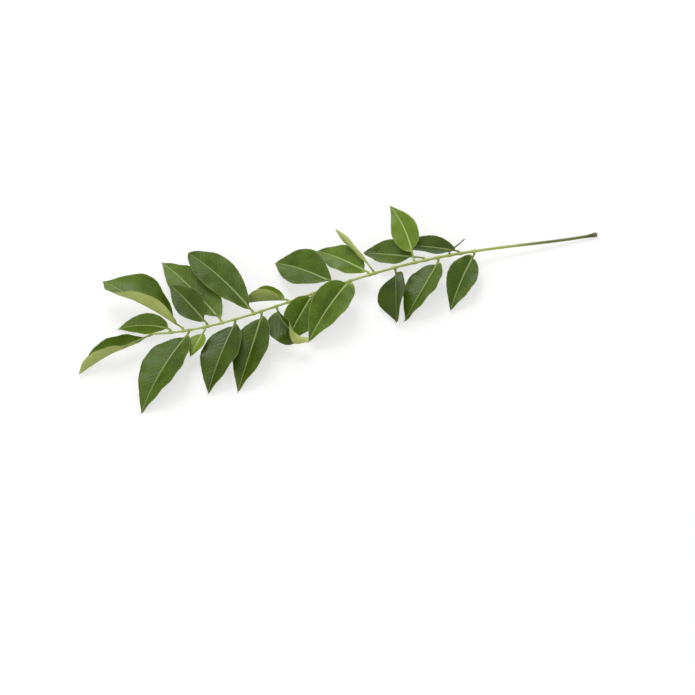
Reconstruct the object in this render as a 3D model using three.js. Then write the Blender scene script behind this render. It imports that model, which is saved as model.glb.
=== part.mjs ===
// Curry leaf sprig: one compound leaf, as cut from the branch and laid on a flat surface.
// A slim stem, the rachis, carries leaflets alternately along its two sides and one at its tip.
// Millimetres, +Z up. The cut end points to +X and the surface is z = 0.
import * as THREE from 'three';

// Rachis: one Bezier curve from the centre of the cut end to the tip.
const RACHIS_POINTS = [
  [131, 51.55, 1.35],
  [85.5, 38.05, 4.2],
  [36, 37.55, 11],
  [-5, 12.05, 14],
  [-47.5, -16.95, 11.5],
  [-95.5, -15.45, 6.5],
].map((point) => new THREE.Vector3(...point));
const RACHIS_BASE_RADIUS = 0.8;
const RACHIS_TIP_RADIUS = 0.5;
const RACHIS_RINGS = 56;
const RING_SPREAD = 1.15; // above 1, the rings are closest together at the cut end
const KNOB_SWELL = 0.55; // what the swollen cut end adds to the radius
const KNOB_LENGTH = 3.0;
const NODE_SWELL = 0.25; // the small thickening under each leaflet
const NODE_LENGTH = 1.6;

// Leaflets: a short round stalk that runs on as the midrib of a thin folded blade.
const STALK_LENGTH = 3.2;
const STALK_GAP = 0.5; // clear space between a stalk and the rachis
const STALK_RADIUS = 0.6;
const MIDRIB_TIP_RADIUS = 0.22;
const WIDEST_SHARE = 0.43; // where a blade is widest, as a share of its length
const BLADE_TAPER = 1.15; // above 1, an end of a blade is more pointed; below 1, it is blunter
const CURL_GROWTH = 1.5; // above 1, a blade curls faster towards its tip
const TWIST_GROWTH = 1.8; // the same for how it twists
const OPEN_GROWTH = 2; // the same for how its two halves open
const STEPS = 48; // short straight steps along a stalk and blade
const STEPS_PER_RING = 3;
const RING_POINTS = 10; // five over the top of a blade, five under it

const LEAF_GREEN = { color: 0x4c6a26, roughness: 0.42, metalness: 0 };
const PALE_GREEN = { color: 0x8e9d58, roughness: 0.55, metalness: 0 };

// Each leaflet: its place along the rachis (0 at the cut, 1 at the tip), the compass direction
// it points in, its length with the stalk, its width and the height of its tip. Then, in degrees:
// how far it curls down, sweeps sideways, rolls over and twists from stalk to tip, how far each
// half folds up at the midrib and how much more (or, below 0, less) it turns up by its margin.
// Only on a leaflet that differs: stalk and widest replace STALK_LENGTH and WIDEST_SHARE, baseTaper
// and tipTaper replace BLADE_TAPER at one end, and rise is how steeply, in degrees, the stalk
// leaves the rachis. One with turnFrom and turnTo does all its twisting between those shares of
// its length, and opening is the share of fold and cup that is gone at the tip.
const NEAR_LEAFLETS = [
  { at: 0.280, aim: -112, long: 36, wide: 16, tip: 2, curl: 25, sweep: 8, fold: 28, cup: -20 },
  { at: 0.362, aim: -119, long: 39, wide: 20, tip: 0.22, curl: 30, sweep: -8, roll: 26, fold: 28, cup: -20 },
  { at: 0.461, aim: -90, long: 29, wide: 23, tip: 3, curl: 20, roll: 50, fold: 26, cup: -10 },
  {
    at: 0.564, aim: -122, long: 40.5, wide: 19.5, widest: 0.4, baseTaper: 0.65, tip: 5, rise: 55,
    curl: 30, sweep: 8, roll: -6, fold: 35, cup: -20,
  },
  {
    at: 0.648, aim: -122, long: 29, wide: 18, baseTaper: 0.75, tip: 1, rise: 45, curl: 20,
    roll: -28, fold: 28, cup: -16,
  },
  {
    at: 0.732, aim: -49, long: 27, wide: 19, tip: 10, curl: 20, sweep: 60, roll: 50, twist: 180,
    turnFrom: 0.52, turnTo: 1.05, fold: 45, cup: 10,
  },
  { at: 0.766, aim: -106, long: 44, wide: 19, tip: 0.22, curl: 30, sweep: -8, roll: 12, fold: 28, cup: -20 },
  { at: 0.824, aim: -109, long: 41, wide: 21, tip: 1, curl: 25, sweep: 6, roll: 18, fold: 24, cup: -16 },
  { at: 0.890, aim: -114, long: 17, wide: 9, tip: 7, curl: 20, roll: 10, fold: 20 },
  { at: 0.924, aim: -117, long: 50, wide: 23, tip: 0.22, curl: 30, sweep: 10, roll: 16, fold: 24, cup: -16 },
];
const FAR_LEAFLETS = [
  { at: 0.311, aim: 170, long: 31, wide: 12, tipTaper: 0.8, tip: 5, curl: 20, fold: 25 },
  {
    at: 0.390, aim: 168, long: 32, stalk: 6.5, wide: 16, tipTaper: 0.9, tip: 4.5, curl: 5,
    roll: -5, fold: 14, cup: 10,
  },
  {
    at: 0.414, aim: 112, long: 34, stalk: 5.5, wide: 15, widest: 0.36, tip: 16, curl: 20,
    sweep: 25, roll: -18, fold: 24, cup: -10,
  },
  {
    at: 0.507, aim: 137, long: 29, wide: 10, widest: 0.6, baseTaper: 0.8, tip: 22, curl: 20,
    roll: 155, fold: 70, cup: 20,
  },
  { at: 0.518, aim: 146, long: 33, wide: 17, tip: 5, curl: 25, roll: -5, fold: 24, cup: -12 },
  {
    at: 0.596, aim: 146, long: 39.5, wide: 22, widest: 0.47, tip: 0.22, curl: 30, roll: -12,
    fold: 24, cup: -14,
  },
  { at: 0.703, aim: 172, long: 25, wide: 17, tip: 3, curl: 20, roll: 40, fold: 20, cup: 90 },
  {
    at: 0.782, aim: 133, long: 50, wide: 19, widest: 0.54, baseTaper: 0.7, tipTaper: 0.75, tip: 11,
    curl: 20, sweep: 8, roll: -5, fold: 22, cup: -12,
  },
  { at: 0.852, aim: 127, long: 56, wide: 21, tip: 0.22, curl: 24, roll: -5, fold: 12 },
  { at: 0.883, aim: 131, long: 31, wide: 15, tip: 11.5, curl: 22, roll: -12, fold: 22, cup: -12 },
  {
    at: 0.935, aim: 148, long: 50, stalk: 4.5, wide: 29, widest: 0.5, tip: 12.5, curl: 30,
    sweep: -8, roll: 34, twist: -32, fold: 20, cup: 98, opening: 1,
  },
  { at: 0.962, aim: 169, long: 30, wide: 12, tip: 0.22, curl: 5, sweep: 40, roll: -15, fold: 20 },
];
const END_LEAFLET = {
  at: 1, aim: -149, long: 40.6, wide: 17, widest: 0.5, tipTaper: 0.8, tip: 2, curl: 15,
  sweep: 10, roll: -12, twist: 92, fold: 28, cup: 62,
};
const BARE_STALK = { at: 0.336, aim: 33, pitch: 24, long: 10.4 };

// The point at a place along the rachis, and the direction in which it runs on there.
function rachisAt(at) {
  let points = RACHIS_POINTS;
  while (points.length > 2) {
    points = points.slice(1).map((next, i) => points[i].clone().lerp(next, at));
  }
  const [from, to] = points;
  return { point: from.clone().lerp(to, at), forward: to.clone().sub(from).normalize() };
}

function rachisRadius(at) {
  return THREE.MathUtils.lerp(RACHIS_BASE_RADIUS, RACHIS_TIP_RADIUS, at);
}

// A closed skin over a row of rings with equally many points, capped at both ends.
// Each ring turns counterclockwise about the direction that leads to the next ring. The second
// half of a ring is split along the lines of the first, so that a thin, twisted blade bends
// alike on both sides and never cuts through itself.
function loft(rings) {
  const count = rings[0].length;
  const faces = [];
  for (let ring = 0; ring + 1 < rings.length; ring++) {
    for (let i = 0; i < count; i++) {
      const a = ring * count + i;
      const b = ring * count + ((i + 1) % count);
      if (i < count / 2) {
        faces.push(a, b, b + count, a, b + count, a + count);
      } else {
        faces.push(a, b, a + count, b, b + count, a + count);
      }
    }
  }
  const last = (rings.length - 1) * count;
  for (let i = 1; i + 1 < count; i++) {
    faces.push(0, i + 1, i, last, last + i, last + i + 1);
  }
  const geometry = new THREE.BufferGeometry().setFromPoints(rings.flat());
  geometry.setIndex(faces);
  geometry.computeVertexNormals();
  return geometry;
}

// The direction at a heading and a pitch, with the directions to its left and above it.
function axesAt(heading, pitch, roll = 0) {
  const forward = new THREE.Vector3(
    Math.cos(pitch) * Math.cos(heading),
    Math.cos(pitch) * Math.sin(heading),
    Math.sin(pitch),
  );
  const left = new THREE.Vector3(-Math.sin(heading), Math.cos(heading), 0);
  left.applyAxisAngle(forward, roll);
  const above = new THREE.Vector3().crossVectors(forward, left);
  return { forward, left, above };
}

// Where a stalk starts: just clear of the rachis, on the side that it points to.
function stalkStart(at, heading, pitch) {
  const { point, forward } = rachisAt(at);
  const outward = axesAt(heading, pitch).forward;
  if (at < 1) {
    outward.addScaledVector(forward, -outward.dot(forward)).normalize();
  }
  const standoff = rachisRadius(at) + NODE_SWELL + STALK_GAP + STALK_RADIUS / 2;
  return point.addScaledVector(outward, standoff);
}

// The pitch at which a stalk has to start for its blade's tip to end up at its height.
function startPitch(curl, rise, long) {
  let along = 0;
  let across = 0;
  for (let step = 0; step < STEPS; step++) {
    const turned = curl * (step / STEPS) ** CURL_GROWTH;
    along += Math.cos(turned) / STEPS;
    across += Math.sin(turned) / STEPS;
  }
  return Math.atan2(across, along) + Math.asin(rise / (long * Math.hypot(along, across)));
}

// Half the blade's width at a share of its length: a wedge at the stalk, full, then a point.
function halfWidth(leaflet, share) {
  if (share <= 0) {
    return 0;
  }
  const { wide, widest = WIDEST_SHARE, baseTaper = BLADE_TAPER, tipTaper = BLADE_TAPER } = leaflet;
  const turn = Math.min(share, 1) ** (Math.log(0.5) / Math.log(widest));
  return (wide / 2) * Math.sin(Math.PI * turn) ** (turn < 0.5 ? baseTaper : tipTaper);
}

// The share of its twist that a leaflet has made at a part of its length.
function twisted({ turnFrom, turnTo }, part) {
  if (turnTo === undefined) {
    return part ** TWIST_GROWTH;
  }
  return THREE.MathUtils.smoothstep(part, turnFrom, turnTo);
}

function leafletGeometry(leaflet) {
  const { at, long, tip, stalk = STALK_LENGTH } = leaflet;
  const angle = (key) => THREE.MathUtils.degToRad(leaflet[key] ?? 0);
  const centre = stalkStart(at, angle('aim'), angle('rise'));
  const start = startPitch(angle('curl'), tip - centre.z, long);
  const rings = [];
  for (let step = 0; step <= STEPS; step++) {
    const part = step / STEPS;
    const heading = angle('aim') + angle('sweep') * (part - 0.5);
    const pitch = start - angle('curl') * part ** CURL_GROWTH;
    const axes = axesAt(heading, pitch, angle('roll') + angle('twist') * twisted(leaflet, part));
    if (step % STEPS_PER_RING === 0) {
      const half = halfWidth(leaflet, (part * long - stalk) / (long - stalk));
      const thick = THREE.MathUtils.lerp(STALK_RADIUS, MIDRIB_TIP_RADIUS, part);
      const closed = 1 - (leaflet.opening ?? 0) * part ** OPEN_GROWTH;
      rings.push(bladeRing(centre, axes, half, angle('fold') * closed, angle('cup') * closed, thick));
    }
    centre.addScaledVector(axes.forward, long / STEPS);
  }
  return loft(rings);
}

// One cross-section of a leaflet: round on the stalk, and two thin arcs across the blade.
function bladeRing(centre, { left, above }, half, fold, cup, thick) {
  const row = RING_POINTS / 2;
  return Array.from({ length: RING_POINTS }, (_, i) => {
    const round = (2 * Math.PI * (i + 0.5)) / RING_POINTS;
    const place = i < row ? 1 - (2 * i) / (row - 1) : (2 * (i - row)) / (row - 1) - 1;
    const bend = (cup * Math.abs(place)) / 2;
    const chord = half * place * (bend === 0 ? 1 : Math.sin(bend) / bend);
    const sideways = chord * Math.cos(fold + bend) + thick * Math.cos(round);
    const up = Math.abs(chord) * Math.sin(fold + bend) + thick * Math.sin(round);
    return centre.clone().addScaledVector(left, sideways).addScaledVector(above, up);
  });
}

// A round section about a point, facing along a direction.
function roundRing(centre, direction, radius) {
  const left = new THREE.Vector3(0, 0, 1).cross(direction).normalize();
  const above = new THREE.Vector3().crossVectors(direction, left);
  return Array.from({ length: RING_POINTS }, (_, i) => {
    const round = (2 * Math.PI * (i + 0.5)) / RING_POINTS;
    return centre.clone()
      .addScaledVector(left, radius * Math.cos(round))
      .addScaledVector(above, radius * Math.sin(round));
  });
}

function rachisGeometry() {
  const length = RACHIS_POINTS[0].distanceTo(RACHIS_POINTS.at(-1));
  const places = [...NEAR_LEAFLETS, ...FAR_LEAFLETS, BARE_STALK].map(({ at }) => at);
  const rings = [];
  for (let ring = 0; ring <= RACHIS_RINGS; ring++) {
    const at = (ring / RACHIS_RINGS) ** RING_SPREAD;
    const knob = KNOB_SWELL * Math.exp(-(((at * length) / KNOB_LENGTH) ** 2));
    const nearest = Math.min(...places.map((place) => Math.abs(place - at))) * length;
    const node = NODE_SWELL * Math.exp(-((nearest / NODE_LENGTH) ** 2));
    const { point, forward } = rachisAt(at);
    rings.push(roundRing(point, forward, rachisRadius(at) + knob + node));
  }
  return loft(rings);
}

function bareStalkGeometry() {
  const { at, long } = BARE_STALK;
  const heading = THREE.MathUtils.degToRad(BARE_STALK.aim);
  const pitch = THREE.MathUtils.degToRad(BARE_STALK.pitch);
  const base = stalkStart(at, heading, pitch);
  const { forward } = axesAt(heading, pitch);
  const end = base.clone().addScaledVector(forward, long);
  return loft([roundRing(base, forward, STALK_RADIUS), roundRing(end, forward, STALK_RADIUS / 2)]);
}

const sprig = new THREE.Group();

function addPiece(name, geometry, finish) {
  const piece = new THREE.Mesh(geometry, new THREE.MeshStandardMaterial(finish));
  piece.name = name;
  sprig.add(piece);
}

addPiece('rachis', rachisGeometry(), PALE_GREEN);
addPiece('bare_stalk', bareStalkGeometry(), PALE_GREEN);
NEAR_LEAFLETS.forEach((leaflet, i) => {
  addPiece(`near_leaflet_${i + 1}`, leafletGeometry(leaflet), LEAF_GREEN);
});
FAR_LEAFLETS.forEach((leaflet, i) => {
  addPiece(`far_leaflet_${i + 1}`, leafletGeometry(leaflet), LEAF_GREEN);
});
addPiece('end_leaflet', leafletGeometry(END_LEAFLET), LEAF_GREEN);

export default sprig;
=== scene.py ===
import math
import bmesh
import bpy
import numpy as np
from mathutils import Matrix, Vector


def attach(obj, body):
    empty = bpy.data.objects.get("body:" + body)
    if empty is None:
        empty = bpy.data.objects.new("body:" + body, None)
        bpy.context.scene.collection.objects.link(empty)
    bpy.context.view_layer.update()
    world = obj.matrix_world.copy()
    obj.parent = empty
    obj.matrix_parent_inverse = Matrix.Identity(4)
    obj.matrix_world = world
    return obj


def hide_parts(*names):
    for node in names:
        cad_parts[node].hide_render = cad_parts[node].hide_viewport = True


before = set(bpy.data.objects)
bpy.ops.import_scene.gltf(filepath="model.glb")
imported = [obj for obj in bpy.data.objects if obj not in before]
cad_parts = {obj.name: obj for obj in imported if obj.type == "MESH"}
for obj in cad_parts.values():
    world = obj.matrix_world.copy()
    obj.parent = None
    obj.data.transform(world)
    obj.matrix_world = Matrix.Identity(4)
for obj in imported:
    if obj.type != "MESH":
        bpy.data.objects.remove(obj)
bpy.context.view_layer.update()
mm = 0.001
print("curry leaf sprig: frame loaded,", len(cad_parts), "parts")


def tint(red, green, blue):
    # a screen colour, 0 to 255, as the linear colour that a socket takes
    def toLinear(part):
        part /= 255
        return part / 12.92 if part <= 0.04045 else ((part + 0.055) / 1.055) ** 2.4
    return (toLinear(red), toLinear(green), toLinear(blue), 1.0)


# Node helpers, for materials and for geometry trees alike.
def feed(tree, node, values):
    # a value that is a socket is linked, anything else is typed in
    for key, value in values.items():
        if isinstance(value, bpy.types.NodeSocket):
            tree.links.new(value, node.inputs[key])
        else:
            node.inputs[key].default_value = value


def addNode(tree, kind, values=None, **settings):
    node = tree.nodes.new(kind)
    for key, value in settings.items():
        setattr(node, key, value)
    feed(tree, node, values or {})
    return node


def calc(tree, operation, a, b=0.0, c=0.0):
    return addNode(tree, "ShaderNodeMath", {0: a, 1: b, 2: c}, operation=operation).outputs[0]


def times(tree, a, b):
    return calc(tree, "MULTIPLY", a, b)


def timesPlus(tree, a, b, c):
    return calc(tree, "MULTIPLY_ADD", a, b, c)


def remap(tree, value, low, high, toLow=0.0, toHigh=1.0, smooth=True):
    return addNode(tree, "ShaderNodeMapRange",
                   {"Value": value, "From Min": low, "From Max": high,
                    "To Min": toLow, "To Max": toHigh},
                   interpolation_type="SMOOTHSTEP" if smooth else "LINEAR").outputs["Result"]


def fadeOut(tree, value, low, high):
    return remap(tree, value, low, high, 1.0, 0.0)


def offVein(tree, phase):
    # 0 on a side vein: the veins lie where the phase crosses a half
    return calc(tree, "ABSOLUTE", calc(tree, "SUBTRACT", calc(tree, "FRACT", phase), 0.5))


def blendColour(tree, amount, under, over):
    values = {0: amount, 6: under, 7: over}
    return addNode(tree, "ShaderNodeMix", values, data_type="RGBA").outputs[2]


def layColours(tree, colour, layers):
    # each layer: where it lies, how strongly it shows, its colour
    for where, show, over in layers:
        colour = blendColour(tree, times(tree, where, show), colour, over)
    return colour


def readSurface(tree, name, vector=False):
    node = addNode(tree, "ShaderNodeAttribute", attribute_name=name)
    return node.outputs["Vector" if vector else "Fac"]


def noiseOf(tree, vector, scale, detail=3.0, roughness=0.5):
    return addNode(tree, "ShaderNodeTexNoise",
                   {"Vector": vector, "Scale": scale, "Detail": detail,
                    "Roughness": roughness}).outputs["Fac"]


def bumpOf(tree, height, strength, depth):
    return addNode(tree, "ShaderNodeBump",
                   {"Height": height, "Strength": strength,
                    "Distance": depth * mm}).outputs["Normal"]


def startMaterial(name):
    material = bpy.data.materials.new(name)
    material.use_nodes = True
    tree = material.node_tree
    return material, tree, tree.nodes["Principled BSDF"]


# Leaf skin: waxy upper side, matt paler underside, pale midrib, thin light margin; the margin and
# the young colours are partly painted light shining through the blade.
# Sizes are in mm on the blade and scales per mm, but netWidth and oilDotEdge are shares of a
# cell, veinWidth of the vein spacing and ribEdge of the midrib's width. A pair says where a
# change starts and ends, and Show is how strongly a layer covers the colour under it.
leafSkin = dict(
    deepGreen=tint(66, 90, 8), leafGreen=tint(86, 112, 16), lightGreen=tint(104, 128, 40),
    # the young colours, above and below, are partly the paler colour of young leaves and partly
    # painted light shining through the thin blade
    youngBacklitGreen=tint(126, 152, 50), veinTop=tint(100, 122, 50), ribTop=tint(172, 188, 116),
    oilDot=tint(112, 134, 56), rim=tint(150, 164, 84), stalk=tint(150, 164, 80),
    underDeep=tint(118, 134, 60), underLight=tint(148, 164, 80),
    underYoungBacklit=tint(200, 212, 120), ribUnder=tint(192, 200, 134),
    patchSize=9.0, patchContrast=(0.35, 0.65), mottleScale=0.9, mottleContrast=(0.3, 0.7),
    netScale=1.1, netWidth=0.09, oilDotScale=1.9, oilDotEdge=(0.06, 0.16), grainScale=5.0,
    veinWidth=0.085, veinFromRim=(0.2, 1.8), ribFoot=0.5, ribTip=0.15, ribEdge=(0.55, 1.15),
    rimEdge=(0.08, 0.42), sideChange=(0.3, 0.7),
    mottleShow=0.35, netShow=0.16, oilDotShow=0.22, veinShow=0.42, ribShow=0.9,
    netUnderShow=0.2, veinUnderShow=0.6, rimShow=0.6, toneShift=0.2, mottleShift=0.1,
    roughTop=0.26, roughPatches=0.14, roughUnder=0.6, gloss=0.32,
    bumpStrength=0.5, bumpDepth=0.08, netSunk=0.35, veinSunk=0.5, grainRaised=0.5,
)


def makeLeafSkin():
    look = leafSkin
    material, tree, shader = startMaterial("leafSkin")
    spot = readSurface(tree, "bladeSpot", vector=True)  # mm along and across the blade
    share, reach, inset, upper, onStalk, veinPhase, toneAndShading, young, pale = (
        readSurface(tree, key) for key in
        ("share", "reach", "inset", "upper", "onStalk", "veinPhase", "toneAndShading", "young", "pale"))

    patches = remap(tree, noiseOf(tree, spot, 1 / look["patchSize"], detail=2.0),
                    *look["patchContrast"])
    mottle = remap(tree, noiseOf(tree, spot, look["mottleScale"], detail=4.0, roughness=0.6),
                   *look["mottleContrast"])
    cells = addNode(tree, "ShaderNodeTexVoronoi", {"Vector": spot, "Scale": look["netScale"]},
                    feature="DISTANCE_TO_EDGE").outputs["Distance"]
    netVein = fadeOut(tree, cells, 0.0, look["netWidth"])
    dots = addNode(tree, "ShaderNodeTexVoronoi",
                   {"Vector": spot, "Scale": look["oilDotScale"]}).outputs["Distance"]
    oilDot = fadeOut(tree, dots, *look["oilDotEdge"])
    sideVein = times(tree, fadeOut(tree, offVein(tree, veinPhase), 0.0, look["veinWidth"]),
                     remap(tree, inset, *look["veinFromRim"]))
    ribWidth = remap(tree, share, 0.0, 1.0, look["ribFoot"], look["ribTip"], smooth=False)
    rib = fadeOut(tree, calc(tree, "DIVIDE", reach, ribWidth), *look["ribEdge"])
    # rim: the margin's paler colour, partly its own and partly painted light shining through the
    # thin edge
    rim = fadeOut(tree, inset, *look["rimEdge"])

    top = blendColour(tree, patches, look["deepGreen"], look["leafGreen"])
    top = layColours(tree, top, (
        (mottle, look["mottleShow"], look["lightGreen"]),
        # young upper side: partly young colour, partly painted light shining through the blade
        (young, 1.0, look["youngBacklitGreen"]),
        (netVein, look["netShow"], look["veinTop"]),
        (oilDot, look["oilDotShow"], look["oilDot"]),
        (sideVein, look["veinShow"], look["veinTop"]),
        (rib, look["ribShow"], look["ribTop"])))
    under = blendColour(tree, patches, look["underDeep"], look["underLight"])
    under = layColours(tree, under, (
        # pale underside: partly young colour, partly painted light shining through the blade
        (pale, 1.0, look["underYoungBacklit"]),
        (netVein, look["netUnderShow"], look["underDeep"]),
        (sideVein, look["veinUnderShow"], look["ribUnder"]),
        (rib, 1.0, look["ribUnder"])))
    skin = blendColour(tree, remap(tree, upper, *look["sideChange"]), under, top)
    skin = layColours(tree, skin, (
        # the margin's paler colour: partly its own, partly painted light shining through the thin
        # edge
        (rim, look["rimShow"], look["rim"]),
        (onStalk, 1.0, look["stalk"])))
    # the leaflet's tone, partly its own colour and partly painted shade and light, counts on its
    # upper side only, the mottle on both
    bright = timesPlus(tree, times(tree, toneAndShading, upper), look["toneShift"], 1.0)
    bright = times(tree, bright, timesPlus(tree, mottle, look["mottleShift"],
                                           1.0 - look["mottleShift"] / 2))
    skin = addNode(tree, "ShaderNodeVectorMath", {0: skin, "Scale": bright}, operation="SCALE")

    wax = timesPlus(tree, patches, look["roughPatches"], look["roughTop"])
    rough = addNode(tree, "ShaderNodeMix", {0: upper, 2: look["roughUnder"], 3: wax}).outputs[0]
    grain = noiseOf(tree, spot, look["grainScale"], roughness=0.6)
    height = timesPlus(tree, netVein, -look["netSunk"], times(tree, grain, look["grainRaised"]))
    height = timesPlus(tree, sideVein, -look["veinSunk"], height)
    feed(tree, shader, {
        "Base Color": skin.outputs[0], "Roughness": rough,
        "Normal": bumpOf(tree, height, look["bumpStrength"], look["bumpDepth"]),
        "Specular IOR Level": look["gloss"]})
    return material


# Stem skin: fresh yellow-green, finely streaked, browning at the cut. A Fade says between
# which distances from the cut, in mm, a colour goes. Scales are per metre.
stemSkin = dict(
    green=tint(184, 198, 96), yellow=tint(206, 214, 124), shade=tint(158, 172, 82),
    olive=tint(112, 120, 56), brown=tint(78, 74, 34), knob=tint(138, 128, 96),
    pith=tint(188, 180, 134), lenticel=tint(160, 164, 108),
    streakScale=(160.0, 900.0, 900.0), patchScale=90.0, contrast=(0.35, 0.65),
    witherScale=500.0, witherReach=3.0,
    oliveFade=(28.6, 52.0), brownFade=(4.0, 12.0), knobFade=(2.34, 4.16),
    streakShow=0.45, lenticelShow=0.4, oliveShow=0.9, brownShow=0.9, knobShow=0.85,
    rough=0.45, roughStreaks=0.15, bumpStrength=0.35, bumpDepth=0.06,
)


def makeStemSkin():
    look = stemSkin
    material, tree, shader = startMaterial("stemSkin")
    place = addNode(tree, "ShaderNodeTexCoord").outputs["Object"]
    along = addNode(tree, "ShaderNodeMapping", {"Vector": place, "Scale": look["streakScale"]},
                    vector_type="POINT").outputs[0]
    fromCut, cutFace, raised = (
        readSurface(tree, key) for key in ("fromCut", "cutFace", "raised"))
    streaks = remap(tree, noiseOf(tree, along, 1.0, roughness=0.6), *look["contrast"])
    patches = remap(tree, noiseOf(tree, place, look["patchScale"], detail=2.0), *look["contrast"])
    # the brown and the knob's grey end unevenly
    withered = timesPlus(tree, noiseOf(tree, place, look["witherScale"]),
                         look["witherReach"], fromCut)
    colour = blendColour(tree, patches, look["green"], look["yellow"])
    colour = layColours(tree, colour, (
        (streaks, look["streakShow"], look["shade"]),
        (raised, look["lenticelShow"], look["lenticel"]),
        (fadeOut(tree, fromCut, *look["oliveFade"]), look["oliveShow"], look["olive"]),
        (fadeOut(tree, withered, *look["brownFade"]), look["brownShow"], look["brown"]),
        (fadeOut(tree, withered, *look["knobFade"]), look["knobShow"], look["knob"]),
        (cutFace, 1.0, look["pith"])))
    feed(tree, shader, {
        "Base Color": colour,
        "Roughness": timesPlus(tree, streaks, look["roughStreaks"], look["rough"]),
        "Normal": bumpOf(tree, streaks, look["bumpStrength"], look["bumpDepth"])})
    return material


leafMaterial = makeLeafSkin()
stemMaterial = makeStemSkin()
print("curry leaf sprig: skins ready")

# Leaflets. at: place along the rachis, 0 at the cut and 1 at the tip; aim: compass direction;
# long, wide, tip: length with the stalk, width and height of the tip, mm; then in degrees how
# far the blade curls down, sweeps sideways, rolls over and twists, how far each half folds up
# at the midrib and how much more it turns up by its margin. tone: darker or lighter, partly the
# leaflet's own colour and partly painted shade and light.
nearLeaflets = [
    dict(at=0.280, aim=-112, long=36, wide=16, tip=2, curl=25, sweep=8, fold=28, cup=-20,
         toneAndShading=-0.5),
    dict(at=0.362, aim=-119, long=39, wide=20, tip=0.22, curl=30, sweep=-8, roll=26, fold=28,
         cup=-20, toneAndShading=0),
    # the third: darkened far down, partly painted shade, the shadow of the leaflets lying over it
    dict(at=0.461, aim=-90, long=29, wide=23, tip=3, curl=20, roll=50, fold=26, cup=-10,
         toneAndShading=-2.1),
    dict(at=0.564, aim=-122, long=40.5, wide=19.5, widest=0.4, baseTaper=0.65, tip=5, rise=55,
         curl=30, sweep=8, roll=-6, fold=35, cup=-20, toneAndShading=0.9),
    # the fifth: lightened well up, painted light against the shadow the fourth near leaflet throws
    # on it
    dict(at=0.648, aim=-122, long=29, wide=18, baseTaper=0.75, tip=1, rise=45, curl=20,
         roll=-28, fold=28, cup=-16, toneAndShading=2.0),
    # the sixth: underside at the palest colour, partly painted light where the lamps reach it only
    # dimly
    dict(at=0.732, aim=-49, long=27, wide=19, tip=10, curl=20, sweep=60, roll=50, twist=180,
         turnFrom=0.52, turnTo=1.05, fold=45, cup=10, toneAndShading=-1.0, pale=1.0),
    dict(at=0.766, aim=-106, long=44, wide=19, tip=0.22, curl=30, sweep=-8, roll=12, fold=28,
         cup=-20, toneAndShading=-1.1),
    dict(at=0.824, aim=-109, long=41, wide=21, tip=1, curl=25, sweep=6, roll=18, fold=24,
         cup=-16, toneAndShading=-1.4),
    dict(at=0.890, aim=-114, long=17, wide=9, baseTaper=1.4, tip=7, curl=20, roll=10, fold=20,
         toneAndShading=1.2, young=0.8),
    dict(at=0.924, aim=-117, long=50, wide=23, baseTaper=1.1, tip=0.22, curl=30, sweep=10,
         roll=16, fold=24, cup=-16, toneAndShading=-0.4),
]
farLeaflets = [
    dict(at=0.311, aim=170, long=31, wide=12, baseTaper=1.0, tipTaper=0.8, tip=5, curl=20,
         fold=25, toneAndShading=-1.2),
    dict(at=0.390, aim=168, long=32, stalk=6.5, wide=16, baseTaper=1.15, tipTaper=0.9, tip=4.5,
         curl=5, roll=-5, fold=14, cup=10, toneAndShading=-0.3),
    dict(at=0.414, aim=112, long=34, stalk=5.5, wide=15, widest=0.36, baseTaper=0.9,
         tipTaper=1.2, tip=16, curl=20, sweep=25, roll=-18, fold=24, cup=-10, toneAndShading=1.7,
         young=0.4),
    dict(at=0.507, aim=137, long=29, wide=10, widest=0.6, baseTaper=0.8, tip=22, curl=20,
         roll=155, fold=70, cup=20, toneAndShading=0.8, young=0.3, pale=1.0),
    dict(at=0.518, aim=146, long=33, wide=17, tip=5, curl=25, roll=-5, fold=24, cup=-12,
         toneAndShading=1.4, young=0.15),
    dict(at=0.596, aim=146, long=39.5, wide=22, widest=0.47, baseTaper=1.2, tip=0.22, curl=30,
         roll=-12, fold=24, cup=-14, toneAndShading=0.1),
    dict(at=0.703, aim=172, long=25, wide=17, tip=3, curl=20, roll=40, fold=20, cup=90,
         toneAndShading=1.2, young=1.0, pale=0.2),
    dict(at=0.782, aim=133, long=50, wide=19, widest=0.54, baseTaper=0.7, tipTaper=0.75,
         tip=11, curl=20, sweep=8, roll=-5, fold=22, cup=-12, toneAndShading=-0.5),
    dict(at=0.852, aim=127, long=56, wide=21, baseTaper=1.0, tip=0.22, curl=24, roll=-5,
         fold=12, toneAndShading=0.5, young=0.15),
    dict(at=0.883, aim=131, long=31, wide=15, baseTaper=1.2, tip=11.5, curl=22, roll=-12,
         fold=22, cup=-12, toneAndShading=-1.2),
    dict(at=0.935, aim=148, long=50, stalk=4.5, wide=29, widest=0.5, tip=12.5, curl=30,
         sweep=-8, roll=34, twist=-32, fold=20, cup=98, opening=1, toneAndShading=0.2, young=0.25,
         pale=1.0),
    dict(at=0.962, aim=169, long=30, wide=12, tip=0.22, curl=5, sweep=40, roll=-15, fold=20,
         toneAndShading=1, young=0.3),
]
endLeaflet = dict(at=1, aim=-149, long=40.6, wide=17, widest=0.5, tipTaper=0.8, tip=2, curl=15,
                  sweep=10, roll=-12, twist=106, fold=28, cup=62, toneAndShading=0.6, young=0.4, pale=0.7)

# What a leaflet has if its line doesn't say. stalk: its length; rise: how steeply it leaves
# the rachis; widest: where, as a share of the blade; baseTaper, tipTaper: how pointed the ends
# are; turnFrom, turnTo: the shares of its length between which it does all its twisting;
# opening: the share of fold and cup gone at the tip; young: 0 to 1, how much of the young colour
# the upper side takes, partly the paler colour of a young leaf and partly painted light shining
# through the blade; pale: the same for the underside, as young if not said.
leafletDefaults = dict(stalk=2.2, rise=0, sweep=0, roll=0, twist=0, cup=0, widest=0.42,
                       baseTaper=0.88, tipTaper=1.16, turnFrom=None, opening=0.0, young=0.0)

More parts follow.
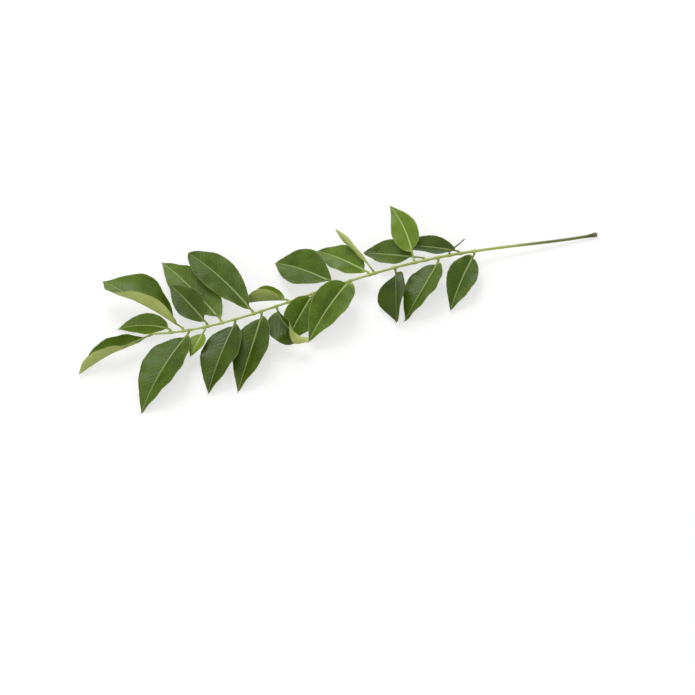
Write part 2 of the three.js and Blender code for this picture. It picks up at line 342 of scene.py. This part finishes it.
# Rachis: one Bezier curve on the same control points as the CAD stem's, mm.
rachis = dict(
    points=[(131, 51.55, 1.35), (85.5, 38.05, 4.2), (36, 37.55, 11),
            (-5, 12.05, 14), (-47.5, -16.95, 11.5), (-95.5, -15.45, 6.5)],
    baseRadius=0.8, tipRadius=0.5, steps=420, stepGrowth=1.1, sides=28, trim=0.05,
    knobSwell=0.55, knobLength=3.0, nodeSwell=0.3, nodeLength=1.3,
    cutRound=0.25, cutRoundLength=0.25,
    ridgeCount=7, ridgeDepth=0.035, grainDepth=0.03, grainScale=500.0,
    lenticelDensity=0.35, lenticelSize=0.09, lenticelShape=(2.6, 1.0, 0.5),
    lenticelFromCut=0.8, lenticelSeed=4,
)


def rachisAt(at):
    # the point there, and the direction in which the rachis runs on
    points = [np.array(point, float) for point in rachis["points"]]
    while len(points) > 2:
        points = [a + (b - a) * at for a, b in zip(points, points[1:])]
    forward = points[1] - points[0]
    return points[0] + forward * at, forward / np.linalg.norm(forward)


def rachisRadius(at):
    return rachis["baseRadius"] + (rachis["tipRadius"] - rachis["baseRadius"]) * at


def axesAt(heading, pitch, roll=0.0):
    # forward, left and above
    forward = np.array([math.cos(pitch) * math.cos(heading),
                        math.cos(pitch) * math.sin(heading), math.sin(pitch)])
    level = np.array([-math.sin(heading), math.cos(heading), 0.0])
    left = level * math.cos(roll) + np.cross(forward, level) * math.sin(roll)
    return forward, left, np.cross(forward, left)


def squareTo(direction, forward):
    # the part of a direction that stands square to forward, at length 1
    direction = direction - forward * direction.dot(forward)
    return direction / np.linalg.norm(direction)


def smoothStep(value):
    value = np.clip(value, 0.0, 1.0)
    return value * value * (3 - 2 * value)


def easePath(points, reach, rounds):
    # rounds off the bend in the first points of a path; the rest stays where it is
    points = np.array(points)
    for _ in range(rounds):
        points[1:reach] = points[1:reach] / 2 + (points[:reach - 1] + points[2:reach + 1]) / 4
    return points


# How every leaflet is made, mm. By the midrib, widths, heights and groovePlace are shares of
# its radius.
leafletShape = dict(
    rowsPerMm=3.0, across=20, ribColumns=6, firstSeed=12, endSeed=77,
    # the start: rows inside the rachis, clear of it after standoff, with the bend eased
    rootRows=5, rootDepth=0.8, standoff=1.05, easedRows=7, easeRounds=14,
    # the higher, the nearer to the tip the curl, the twist and the opening come
    growth=1.5, twistGrowth=1.8, openGrowth=2.0,
    # midrib and stalk, and where the round stalk has gone over into the flat blade
    stalkRadius=0.44, ribTip=0.1, ribFade=0.8, stalkFoot=0.2, stalkFootLength=0.9,
    flatFrom=0.1, flatOver=2.2, flatOverLess=1.7, stalkMark=3.0,
    stalkColourEnd=-1.0, stalkColourFade=3.0,
    # outline
    oblique=0.035, obliqueOther=0.4, unequal=0.03, marginSway=0.02, marginSways=3.1,
    scallop=0.05, scallopFrom=4.0, scallopRate=0.8,
    # section
    bladeThickness=0.24, rimThickness=0.14, rimReach=0.05, thinning=4,
    creaseWidth=1.3, creaseStart=0.12, ribZone=1.7,
    ribHeight=0.16, ribWidth=0.7, grooveDepth=0.10, groovePlace=1.4, grooveWidth=0.9,
    ribHeightUnder=1.05, ribWidthUnder=0.8,
    # waves of the margin, and a longer swell; a leaflet as wide as waveFull has all of it
    waveHeight=0.34, waveHeights=(0.6, 1.3), waveFull=16, waveLength=11.0,
    waveLengths=(0.8, 1.25), waveRise=1.7, swellHeight=0.7, swellLength=2.3,
    # how the blade flattens where it comes down on the surface
    floorGap=0.16, floorEase=3.0, floorLeast=0.4,
    # side veins
    veinSpacing=2.7, veinStagger=0.45, veinLean=0.62, veinBend=0.055,
    veinWander=0.12, veinWanders=0.9, veinWobble=0.05, veinWobbles=1.3,
    # each leaflet and each side of it reads its own stretch of the skin's pattern
    patternStep=100.0, patternSides=50.0,
)


def halfWidth(leaf, share):
    if share <= 0:
        return 0.0
    turn = min(share, 1.0) ** (math.log(0.5) / math.log(leaf["widest"]))
    taper = leaf["baseTaper"] if turn < 0.5 else leaf["tipTaper"]
    return leaf["wide"] / 2 * max(math.sin(math.pi * turn), 0.0) ** taper


def leafletChance(leaf, seed):
    # what differs by chance from leaflet to leaflet
    shape = leafletShape
    rng = np.random.default_rng(seed)
    return dict(
        phase=rng.uniform(0, 2 * math.pi, 6),
        waveHeight=(shape["waveHeight"] * rng.uniform(*shape["waveHeights"])
                    * min(1.0, leaf["wide"] / shape["waveFull"])),
        waveLength=shape["waveLength"] * rng.uniform(*shape["waveLengths"]),
        obliqueSide=rng.choice([-1, 1]),
        veinShift=rng.uniform(0, 1))


def leafletPath(leaf, angle, rows):
    # the midrib from inside the rachis to the tip: each row's middle, its left and its above
    shape = leafletShape
    rootRows, easedRows = shape["rootRows"], shape["rootRows"] + shape["easedRows"]
    foot, along = rachisAt(leaf["at"])
    outward = axesAt(angle["aim"], angle["rise"])[0]
    if leaf["at"] < 1:
        outward = squareTo(outward, along)
    reachOut = rachisRadius(leaf["at"]) + shape["standoff"]
    centre = foot + outward * reachOut
    # the pitch at the foot that brings the tip to its height
    turns = angle["curl"] * (np.arange(rows) / rows) ** shape["growth"]
    level, drop = np.cos(turns).mean(), np.sin(turns).mean()
    climb = (leaf["tip"] - centre[2]) / (leaf["long"] * math.hypot(level, drop))
    start = math.atan2(drop, level) + math.asin(climb)

    middles, axes = [], []
    for row in range(-rootRows, rows + 1):
        part = max(row, 0) / rows
        if leaf["turnFrom"] is None:
            turned = part ** shape["twistGrowth"]
        else:
            span = leaf["turnTo"] - leaf["turnFrom"]
            turned = float(smoothStep((part - leaf["turnFrom"]) / span))
        axes.append(axesAt(angle["aim"] + angle["sweep"] * (part - 0.5),
                           start - angle["curl"] * part ** shape["growth"],
                           angle["roll"] + angle["twist"] * turned))
        if row < 0:
            inside = 1 + row / rootRows * shape["rootDepth"]
            middles.append(foot + outward * reachOut * inside)
        else:
            middles.append(centre)
            centre = centre + axes[-1][0] * leaf["long"] / rows
    middles = easePath(middles, easedRows, shape["easeRounds"])

    # the axes follow the path where it was eased
    headings = np.gradient(middles, axis=0)
    for number in range(easedRows):
        forward = headings[number] / np.linalg.norm(headings[number])
        left = squareTo(axes[number][1], forward)
        axes[number] = forward, left, np.cross(forward, left)
    return [(middle, left, above) for middle, (forward, left, above) in zip(middles, axes)]


def leafletHalf(leaf, angle, chance, here, side):
    # one half of a row, from the midrib out: its points on top, underneath and at the rim,
    # and what the skin and the veins need to know about them
    shape, phase = leafletShape, chance["phase"]
    share, mmAlong, ribRadius = here["share"], here["mmAlong"], here["ribRadius"]
    middle, left, above = here["middle"], here["left"], here["above"]
    columns, ribColumns = shape["across"], shape["ribColumns"]
    veinStart = chance["veinShift"] + (shape["veinStagger"] if side > 0 else 0.0)

    # how wide it is here, and flat: 0 on the round stalk, 1 on the blade
    lean = shape["oblique"] * (1 if side == chance["obliqueSide"] else -shape["obliqueOther"])
    sideShare = (share + lean) / (1 + lean)
    sway = shape["marginSway"] * math.sin(shape["marginSways"] * sideShare + phase[side])
    half = halfWidth(leaf, sideShare)
    half *= 1 + sway + shape["unequal"] * side * chance["obliqueSide"]
    scallops = (mmAlong / shape["veinSpacing"] + veinStart) * shape["scallopRate"]
    half += (shape["scallop"] * smoothStep(half / shape["scallopFrom"])
             * math.sin(2 * math.pi * scallops + phase[3]))
    over = shape["flatOver"] - shape["flatOverLess"] * smoothStep(share * 2)
    flat = smoothStep((half - shape["flatFrom"]) / over)

    # the middle sheet: columns close together by the midrib, folded there and cupped
    ribZone = min(ribRadius * shape["ribZone"], half / 2)
    blade = columns - ribColumns
    distance = np.concatenate([ribZone * np.arange(ribColumns) / ribColumns,
                               ribZone + (half - ribZone) * np.arange(blade + 1) / blade])
    place = distance / max(half, 1e-6)
    crease = smoothStep(distance / shape["creaseWidth"] + shape["creaseStart"])
    tilt = (angle["fold"] * crease + angle["cup"] * place) * here["closed"]
    step, between = np.diff(distance), (tilt[1:] + tilt[:-1]) / 2
    sheetOut = np.concatenate([[0], np.cumsum(step * np.cos(between))])
    sheetUp = np.concatenate([[0], np.cumsum(step * np.sin(between))])
    normalOut, normalUp = -np.sin(tilt), np.cos(tilt)
    waves = 2 * math.pi * mmAlong / chance["waveLength"]
    wave = place ** shape["waveRise"] * np.sin(waves + phase[1 + side])
    wave += shape["swellHeight"] * place * np.sin(waves / shape["swellLength"] + phase[4])
    wave *= chance["waveHeight"] * flat

    # thickness: thin at the rim, a low ridge between two grooves on top, a round rib underneath
    def ridge(centre, width):
        return np.exp(-((distance - centre * ribRadius) / (width * ribRadius)) ** 2)

    thin = place ** shape["thinning"]
    thin = shape["bladeThickness"] / 2 * (1 - thin) + shape["rimThickness"] / 2 * thin
    topLift = thin + shape["ribHeight"] * ribRadius * ridge(0, shape["ribWidth"])
    topLift -= shape["grooveDepth"] * ridge(shape["groovePlace"], shape["grooveWidth"]) * flat
    underLift = thin + shape["ribHeightUnder"] * ribRadius * ridge(0, shape["ribWidthUnder"])

    stalkTurn = np.arange(columns + 1) / columns * math.pi / 2
    roundOut, roundUp = ribRadius * np.sin(stalkTurn), ribRadius * np.cos(stalkTurn)

    def surface(lift, sign):
        offset = sign * lift + wave
        out = (1 - flat) * roundOut + flat * (sheetOut + normalOut * offset)
        up = sign * (1 - flat) * roundUp + flat * (sheetUp + normalUp * offset)
        return middle + np.outer(out * side, left) + np.outer(up, above)

    upper, under = surface(topLift, 1), surface(underLift, -1)
    outDirection = left * side * math.cos(tilt[-1]) + above * math.sin(tilt[-1])
    rim = (upper[-1] + under[-1]) / 2 + outDirection * shape["rimReach"] * flat

    # soft floor: what is lower than floorGap is lifted, and stays above a share of floorGap
    gap, least = shape["floorGap"], shape["floorLeast"]
    lowest = np.minimum(upper[:, 2], under[:, 2])
    settled = gap * (np.exp((lowest - gap) / (gap * shape["floorEase"])) * (1 - least) + least)
    raised = np.where(lowest < gap, settled - lowest, 0)
    upper[:, 2] += raised
    under[:, 2] += raised
    rim[2] += raised[-1]

    veinPhase = (mmAlong - shape["veinLean"] * distance
                 - shape["veinBend"] * distance ** 2) / shape["veinSpacing"] + veinStart
    veinPhase += shape["veinWander"] * np.sin(mmAlong * shape["veinWanders"] + phase[2])
    veinPhase += shape["veinWobble"] * np.sin(distance * shape["veinWobbles"] + phase[5])
    # on the stalk, reach and inset are moved out of the midrib's and the rim's range
    moved = (1 - flat) * shape["stalkMark"]
    return dict(surface=(upper, under, rim), across=side * distance, veinPhase=veinPhase,
                reach=distance + moved, inset=half - distance + moved)


def around(left, right):
    # each side is top, underneath and rim: left rim, over the top to the right, back below
    return np.concatenate([[left[2]], left[0][::-1], right[0][1:],
                           [right[2]], right[1][::-1], left[1][1:]])


def markPoints(mesh, name, values):
    # stores a number, or a vector, at each point
    values = np.array(values, np.float32)
    vector = values.ndim == 2
    layer = mesh.attributes.new(name, "FLOAT_VECTOR" if vector else "FLOAT", "POINT")
    layer.data.foreach_set("vector" if vector else "value", values.ravel())


def leafletMesh(name, leaf, seed):
    # closed thin blade on a round stalk; every row is one ring of points round the midrib
    shape = leafletShape
    leaf = {**leafletDefaults, **leaf}
    chance = leafletChance(leaf, seed)
    angle = {key: math.radians(leaf[key]) for key in
             ("aim", "rise", "curl", "sweep", "roll", "twist", "fold", "cup")}
    rows = round(leaf["long"] * shape["rowsPerMm"])
    rightRim = 2 * shape["across"] + 2
    top = np.zeros(2 * rightRim)
    top[1:rightRim] = 1.0
    top[[0, rightRim]] = 0.5

    points, marks = [], {key: [] for key in
                         ("share", "reach", "inset", "upper", "onStalk", "veinPhase", "bladeSpot")}
    path = leafletPath(leaf, angle, rows)
    for row, (middle, left, above) in enumerate(path, -shape["rootRows"]):
        part = max(row, 0) / rows
        mmAlong = part * leaf["long"] - leaf["stalk"]  # counted from the blade's start
        share = mmAlong / (leaf["long"] - leaf["stalk"])
        thinner = (shape["ribTip"] - shape["stalkRadius"]) * max(share, 0) ** shape["ribFade"]
        flare = math.exp(-(part * leaf["long"] / shape["stalkFootLength"]) ** 2)
        here = dict(share=share, mmAlong=mmAlong, middle=middle, left=left, above=above,
                    ribRadius=shape["stalkRadius"] + thinner + shape["stalkFoot"] * flare,
                    closed=1 - leaf["opening"] * part ** shape["openGrowth"])
        halves = [leafletHalf(leaf, angle, chance, here, side) for side in (1, -1)]
        points.append(around(*(half["surface"] for half in halves)))
        ring = {key: around(*((half[key], half[key], half[key][-1]) for half in halves))
                for key in ("reach", "inset", "veinPhase", "across")}
        ring["share"] = np.full(len(top), share)
        ring["upper"] = top
        blade = float(smoothStep((mmAlong - shape["stalkColourEnd"]) / shape["stalkColourFade"]))
        ring["onStalk"] = np.full(len(top), 1 - blade)
        ring["bladeSpot"] = np.stack([np.full(len(top), mmAlong + shape["patternStep"] * seed),
                                      ring["across"], top * shape["patternSides"]], axis=1)
        for key, rings in marks.items():
            rings.append(ring[key])

    # quads from ring to ring, and a face at each end
    index = np.arange(len(points) * len(top)).reshape(len(points), len(top))
    following = np.roll(index, -1, axis=1)
    quads = np.stack([index[:-1], following[:-1], following[1:], index[1:]], axis=-1)
    faces = quads.reshape(-1, 4).tolist() + [index[0][::-1].tolist(), index[-1].tolist()]
    mesh = bpy.data.meshes.new(name)
    mesh.from_pydata((np.concatenate(points) * mm).tolist(), [], faces)
    for key, rings in marks.items():
        markPoints(mesh, key, np.concatenate(rings))
    for key, value in (("toneAndShading", leaf["toneAndShading"]), ("young", leaf["young"]),
                       ("pale", leaf.get("pale", leaf["young"]))):
        markPoints(mesh, key, np.full(index.size, value))
    return mesh


# Geometry trees: one geometry in, named inputs, one geometry out.
def newTree(name, inputs):
    tree = bpy.data.node_groups.new(name, "GeometryNodeTree")
    tree.interface.new_socket("Geometry", in_out="INPUT", socket_type="NodeSocketGeometry")
    for label, (kind, value) in inputs.items():
        socket = tree.interface.new_socket(label, in_out="INPUT", socket_type="NodeSocket" + kind)
        if value is not None:
            socket.default_value = value
    tree.interface.new_socket("Geometry", in_out="OUTPUT", socket_type="NodeSocketGeometry")
    return tree, tree.nodes.new("NodeGroupInput").outputs, tree.nodes.new("NodeGroupOutput")


def namedValue(tree, name):
    return addNode(tree, "GeometryNodeInputNamedAttribute", {"Name": name},
                   data_type="FLOAT").outputs[0]


def storeValue(tree, geometry, name, value):
    return addNode(tree, "GeometryNodeStoreNamedAttribute",
                   {"Geometry": geometry, "Name": name, "Value": value},
                   data_type="FLOAT", domain="POINT").outputs[0]


def pushOut(tree, geometry, lift):
    # moves every point along its normal
    normal = addNode(tree, "GeometryNodeInputNormal").outputs[0]
    offset = addNode(tree, "ShaderNodeVectorMath", {0: normal, "Scale": lift}, operation="SCALE")
    return addNode(tree, "GeometryNodeSetPosition",
                   {"Geometry": geometry, "Offset": offset.outputs[0]}).outputs[0]


def endTree(tree, geometry, material, result):
    real = addNode(tree, "GeometryNodeRealizeInstances", {"Geometry": geometry})
    painted = addNode(tree, "GeometryNodeSetMaterial",
                      {"Geometry": real.outputs[0], "Material": material})
    tree.links.new(painted.outputs[0], result.inputs[0])


def growPiece(piece, tree, values):
    # runs the tree on the piece, keeps the result as a plain mesh and drops the modifier
    modifier = piece.modifiers.new(tree.name, "NODES")
    modifier.node_group = tree
    for item in tree.interface.items_tree:
        if item.in_out == "INPUT" and item.name in values:
            modifier[item.identifier] = values[item.name]
    bpy.context.view_layer.update()
    grown = piece.evaluated_get(bpy.context.evaluated_depsgraph_get())
    mesh, old = bpy.data.meshes.new_from_object(grown), piece.data
    piece.modifiers.clear()
    piece.data = mesh
    bpy.data.meshes.remove(old)
    mesh.name = piece.name
    mesh.shade_smooth()


# Side veins: a little sunk above and raised below, and the blade swells between them.
# Heights are in mm. veinWidth, from a vein's middle to its edge, is a share of the spacing.
leafVeins = dict(veinHeight=0.05, veinWidth=0.16, quiltHeight=0.05, rimFade=(0.0, 1.6),
                 ribFade=(0.3, 1.2))


def makeVeinTree():
    tree, given, result = newTree("leafVeins", {
        "Vein Height": ("Float", leafVeins["veinHeight"] * mm),
        "Vein Width": ("Float", leafVeins["veinWidth"]),
        "Quilt Height": ("Float", leafVeins["quiltHeight"] * mm),
        "Leaf Skin": ("Material", None)})
    phase, inset, upper, onStalk, reach = (
        namedValue(tree, key) for key in ("veinPhase", "inset", "upper", "onStalk", "reach"))
    vein = fadeOut(tree, offVein(tree, phase), 0.0, given["Vein Width"])
    halfTurn = times(tree, calc(tree, "FRACT", phase), math.pi)
    quilt = calc(tree, "SUBTRACT", calc(tree, "SINE", halfTurn), 0.5)
    fade = times(tree, remap(tree, inset, *leafVeins["rimFade"]),
                 remap(tree, reach, *leafVeins["ribFade"]))
    fade = times(tree, fade, calc(tree, "SUBTRACT", 1.0, onStalk))
    # sunk is how far a point goes towards the underside, most on each vein
    sunk = calc(tree, "ADD", times(tree, vein, given["Vein Height"]),
                times(tree, quilt, given["Quilt Height"]))
    towards = remap(tree, upper, 0.0, 1.0, 1.0, -1.0, smooth=False)
    lift = times(tree, times(tree, sunk, fade), towards)
    endTree(tree, pushOut(tree, given["Geometry"], lift), given["Leaf Skin"], result)
    return tree


def makeStemTree():
    tree, given, result = newTree("stemGrowth", {
        "Sides": ("Int", rachis["sides"]),
        "Ridge Count": ("Float", float(rachis["ridgeCount"])),
        "Ridge Depth": ("Float", rachis["ridgeDepth"] * mm),
        "Grain Depth": ("Float", rachis["grainDepth"] * mm),
        "Lenticels": ("Float", 0.0),
        "Lenticel Size": ("Float", rachis["lenticelSize"] * mm),
        "Seed": ("Int", rachis["lenticelSeed"]),
        "Stem Skin": ("Material", None)})
    # a ring swept along the line, scaled by the girth at each point
    line = addNode(tree, "GeometryNodeMeshToCurve", {"Mesh": given["Geometry"]}).outputs[0]
    profile = addNode(tree, "GeometryNodeCurvePrimitiveCircle",
                      {"Resolution": given["Sides"], "Radius": 1.0}).outputs[0]
    turn = addNode(tree, "GeometryNodeSplineParameter").outputs["Factor"]
    sweep = addNode(tree, "GeometryNodeCurveToMesh",
                    {"Curve": line, "Profile Curve": storeValue(tree, profile, "around", turn),
                     "Scale": namedValue(tree, "girth"), "Fill Caps": True}).outputs[0]
    # ridges along it and a fine grain
    circle = times(tree, namedValue(tree, "around"), 2 * math.pi)
    ridge = calc(tree, "SINE", times(tree, circle, given["Ridge Count"]))
    grain = addNode(tree, "ShaderNodeTexNoise",
                    {"Scale": rachis["grainScale"], "Detail": 2.0}).outputs["Fac"]
    lift = calc(tree, "ADD", times(tree, ridge, given["Ridge Depth"]),
                times(tree, calc(tree, "SUBTRACT", grain, 0.5), given["Grain Depth"]))
    skin = pushOut(tree, sweep, lift)
    # lenticels: small raised lens shapes lying along the stem
    offCut = calc(tree, "GREATER_THAN", namedValue(tree, "fromCut"), rachis["lenticelFromCut"])
    spots = addNode(tree, "GeometryNodeDistributePointsOnFaces",
                    {"Mesh": skin, "Selection": offCut, "Density": given["Lenticels"],
                     "Seed": given["Seed"]})
    lens = addNode(tree, "GeometryNodeMeshIcoSphere",
                   {"Radius": given["Lenticel Size"], "Subdivisions": 1}).outputs[0]
    placed = addNode(tree, "GeometryNodeInstanceOnPoints",
                     {"Points": spots.outputs["Points"],
                      "Instance": storeValue(tree, lens, "raised", 1.0),
                      "Scale": rachis["lenticelShape"]})
    joined = addNode(tree, "GeometryNodeJoinGeometry")
    for part in (placed.outputs[0], skin):
        tree.links.new(part, joined.inputs[0])
    endTree(tree, joined.outputs[0], given["Stem Skin"], result)
    return tree


def addPiece(name, mesh):
    piece = bpy.data.objects.new(name, mesh)
    bpy.context.scene.collection.objects.link(piece)
    return piece


def stemLine(name, path, girth, fromCut):
    # the centre line as a chain of edges, with how thick the stem is at each point
    mesh = bpy.data.meshes.new(name)
    mesh.from_pydata((np.array(path) * mm).tolist(),
                     [(i, i + 1) for i in range(len(path) - 1)], [])
    markPoints(mesh, "girth", np.array(girth) * mm)
    markPoints(mesh, "fromCut", fromCut)
    return mesh


# Cut faces: a rim, a sunk ring and a slightly raised pith. For each ring how far in and how
# far out it lies, as shares of the radius, and how much of the pith's colour it takes.
cutShape = dict(rings=((0.12, -0.08, 0.2), (0.22, 0.0, 0.9), (0.3, 0.05, 1.0)), fewestSides=9)


def finishCut(mesh, at, outward):
    # the end faces have the most sides; this one is the nearest to at
    work = bmesh.new()
    work.from_mesh(mesh)
    layer = work.verts.layers.float.new("cutFace")
    ends = [face for face in work.faces if len(face.verts) >= cutShape["fewestSides"]]
    face = min(ends, key=lambda end: (end.calc_center_median() - at).length)
    middle = face.calc_center_median()
    radius = sum((vert.co - middle).length for vert in face.verts) / len(face.verts)
    for inset, push, pith in cutShape["rings"]:
        bmesh.ops.inset_region(work, faces=[face], thickness=inset * radius,
                               use_even_offset=True)
        for vert in face.verts:
            vert.co += outward * push * radius
            vert[layer] = pith
    bmesh.ops.triangulate(work, faces=[face])
    work.to_mesh(mesh)
    work.free()


def growStem(tree):
    # shorter steps near the cut, a knob there and a slight swelling at every stalk
    spanLong = float(np.linalg.norm(np.array(rachis["points"][0]) - rachis["points"][-1]))
    places = np.array([leaf["at"] for leaf in (*nearLeaflets, *farLeaflets, bareStalk)])
    path, girth, fromCut = [], [], []
    for at in (np.arange(rachis["steps"] + 1) / rachis["steps"]) ** rachis["stepGrowth"]:
        gone = at * spanLong
        fromNodes = (places - at) * spanLong / rachis["nodeLength"]
        knob = rachis["knobSwell"] * math.exp(-(gone / rachis["knobLength"]) ** 2)
        node = rachis["nodeSwell"] * np.exp(-fromNodes ** 2).max()
        rounded = rachis["cutRound"] * math.exp(-gone / rachis["cutRoundLength"])
        path.append(rachisAt(at)[0])
        girth.append(rachisRadius(at) + knob + node - rachis["trim"] - rounded)
        fromCut.append(gone)
    stem = addPiece("rachisStem", stemLine("rachisStem", path, girth, fromCut))
    growPiece(stem, tree, {"Lenticels": rachis["lenticelDensity"] / mm ** 2,
                           "Stem Skin": stemMaterial})
    cutPoint, cutForward = rachisAt(0)
    finishCut(stem.data, Vector(cutPoint) * mm, Vector(-cutForward))
    return stem


# Bare stalk: leaves the rachis square to it, then bends into its own direction.
bareStalk = dict(at=0.336, aim=33, pitch=24, long=10.4, radius=0.42, endRadius=0.27,
                 brownReach=6.5, endSwell=0.08, endSwellShare=0.0857143, sides=20,
                 lenticelDensity=0.1, steps=60, easedSteps=30, easeRounds=40)


def growStub(tree):
    foot, along = rachisAt(bareStalk["at"])
    direction = axesAt(math.radians(bareStalk["aim"]), math.radians(bareStalk["pitch"]))[0]
    outward = squareTo(direction, along)
    standoff = rachisRadius(bareStalk["at"]) + leafletShape["standoff"]
    path, girth, fromCut = [], [], []
    for part in np.arange(bareStalk["steps"] + 1) / bareStalk["steps"]:
        gone = part * (bareStalk["long"] + standoff)
        straight = foot + outward * min(gone, standoff)
        path.append(straight + direction * max(gone - standoff, 0.0))
        radius = bareStalk["radius"] + (bareStalk["endRadius"] - bareStalk["radius"]) * part
        swell = math.exp(-((1 - part) / bareStalk["endSwellShare"]) ** 2)
        girth.append(radius + bareStalk["endSwell"] * swell)
        fromCut.append((1 - part) * bareStalk["brownReach"])
    path = easePath(path, bareStalk["easedSteps"], bareStalk["easeRounds"])
    stub = addPiece("bareStalk", stemLine("bareStalk", path, girth, fromCut))
    growPiece(stub, tree, {"Sides": bareStalk["sides"], "Stem Skin": stemMaterial,
                           "Lenticels": bareStalk["lenticelDensity"] / mm ** 2})
    finishCut(stub.data, Vector(path[-1]) * mm, Vector(direction))
    return stub


def growLeaflet(name, leaf, seed, tree):
    blade = addPiece(name, leafletMesh(name, leaf, seed))
    growPiece(blade, tree, {"Leaf Skin": leafMaterial})
    return blade


stemTree = makeStemTree()
veinTree = makeVeinTree()
pieceOf = {"rachis": growStem(stemTree), "bare_stalk": growStub(stemTree)}
print("curry leaf sprig: stem grown")

seed = leafletShape["firstSeed"]
for title, nodeTitle, leaves in (("nearLeaflet", "near_leaflet_", nearLeaflets),
                                 ("farLeaflet", "far_leaflet_", farLeaflets)):
    for number, leaf in enumerate(leaves, 1):
        pieceOf[f"{nodeTitle}{number}"] = growLeaflet(f"{title}{number}", leaf, seed, veinTree)
        seed += 1
pieceOf["end_leaflet"] = growLeaflet("endLeaflet", endLeaflet, leafletShape["endSeed"], veinTree)
faceCount = sum(len(piece.data.polygons) for piece in pieceOf.values())
print("curry leaf sprig: leaflets grown,", faceCount, "faces")

for node, piece in pieceOf.items():
    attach(piece, "root")
    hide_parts(node)

# Studio: white floor and three soft lamps, above and behind, low behind, and in front.
# aimPoint and distance are in mm, the floor and the lamps in metres.
studio = dict(
    aimPoint=(1.5, -19.15, 0.0), elevation=55, distance=1000, lens=103.6, sensor=36,
    clip=(0.01, 20), floorSize=12.0, floorShade=0.5, floorGlow=0.6, floorBounce=0.8,
    worldLight=0.45,
    lamps=[dict(name="backLamp", place=(-0.37, 0.72, 1.46), size=0.9, power=9.0),
           dict(name="lowBackLamp", place=(0.0, 1.7, 0.32), size=1.1, power=5.0),
           dict(name="frontLamp", place=(-0.7, -1.0, 1.3), size=1.2, power=5.0)],
)


def grey(shade):
    return (shade, shade, shade, 1.0)


def placeInStudio(name, data, place, towards):
    holder = bpy.data.objects.new(name, data)
    bpy.context.scene.collection.objects.link(holder)
    holder.location = place
    holder.rotation_euler = Vector(towards).to_track_quat("-Z", "Y").to_euler()
    return holder


def makeFloor():
    # what the camera and reflections see is near white; the leaves get plain grey light back
    size = studio["floorSize"] / 2
    mesh = bpy.data.meshes.new("studioFloor")
    corners = [(-size, -size, 0), (size, -size, 0), (size, size, 0), (-size, size, 0)]
    mesh.from_pydata(corners, [], [(0, 1, 2, 3)])
    material = bpy.data.materials.new("floorPaper")
    material.use_nodes = True
    tree = material.node_tree
    tree.nodes.clear()
    rays = addNode(tree, "ShaderNodeLightPath").outputs
    seen = calc(tree, "MAXIMUM", rays["Is Camera Ray"], rays["Is Glossy Ray"])
    seen = calc(tree, "MAXIMUM", seen, rays["Is Transmission Ray"])
    paper = addNode(tree, "ShaderNodeBsdfDiffuse", {"Color": grey(studio["floorShade"])})
    glow = addNode(tree, "ShaderNodeEmission",
                   {"Color": grey(1.0), "Strength": studio["floorGlow"]})
    shown = addNode(tree, "ShaderNodeAddShader", {0: paper.outputs[0], 1: glow.outputs[0]})
    plain = addNode(tree, "ShaderNodeBsdfDiffuse", {"Color": grey(studio["floorBounce"])})
    mixed = addNode(tree, "ShaderNodeMixShader",
                    {0: seen, 1: plain.outputs[0], 2: shown.outputs[0]})
    addNode(tree, "ShaderNodeOutputMaterial", {"Surface": mixed.outputs[0]})
    mesh.materials.append(material)
    addPiece("studioFloor", mesh)


def makeWorld():
    world = bpy.data.worlds.new("studioWorld")
    bpy.context.scene.world = world
    world.use_nodes = True
    tree = world.node_tree
    tree.nodes.clear()
    seen = addNode(tree, "ShaderNodeLightPath").outputs["Is Camera Ray"]
    strength = remap(tree, seen, 0.0, 1.0, studio["worldLight"], 1.0, smooth=False)
    background = addNode(tree, "ShaderNodeBackground", {"Color": grey(1.0), "Strength": strength})
    addNode(tree, "ShaderNodeOutputWorld", {"Surface": background.outputs[0]})


def makeLamps():
    for lamp in studio["lamps"]:
        light = bpy.data.lights.new(lamp["name"], "AREA")
        light.shape, light.size, light.energy = "DISK", lamp["size"], lamp["power"]
        placeInStudio(lamp["name"], light, lamp["place"], -Vector(lamp["place"]))


def makeCamera():
    camera = bpy.data.cameras.new("studioCamera")
    camera.lens, camera.sensor_width = studio["lens"], studio["sensor"]
    camera.clip_start, camera.clip_end = studio["clip"]
    raised = math.radians(studio["elevation"])
    back = Vector((0, -math.cos(raised), math.sin(raised)))
    place = (Vector(studio["aimPoint"]) + back * studio["distance"]) * mm
    bpy.context.scene.camera = placeInStudio("studioCamera", camera, place, -back)


makeFloor()
makeWorld()
makeLamps()
makeCamera()
bpy.context.scene.view_settings.view_transform = "Standard"
print("curry leaf sprig: studio ready")
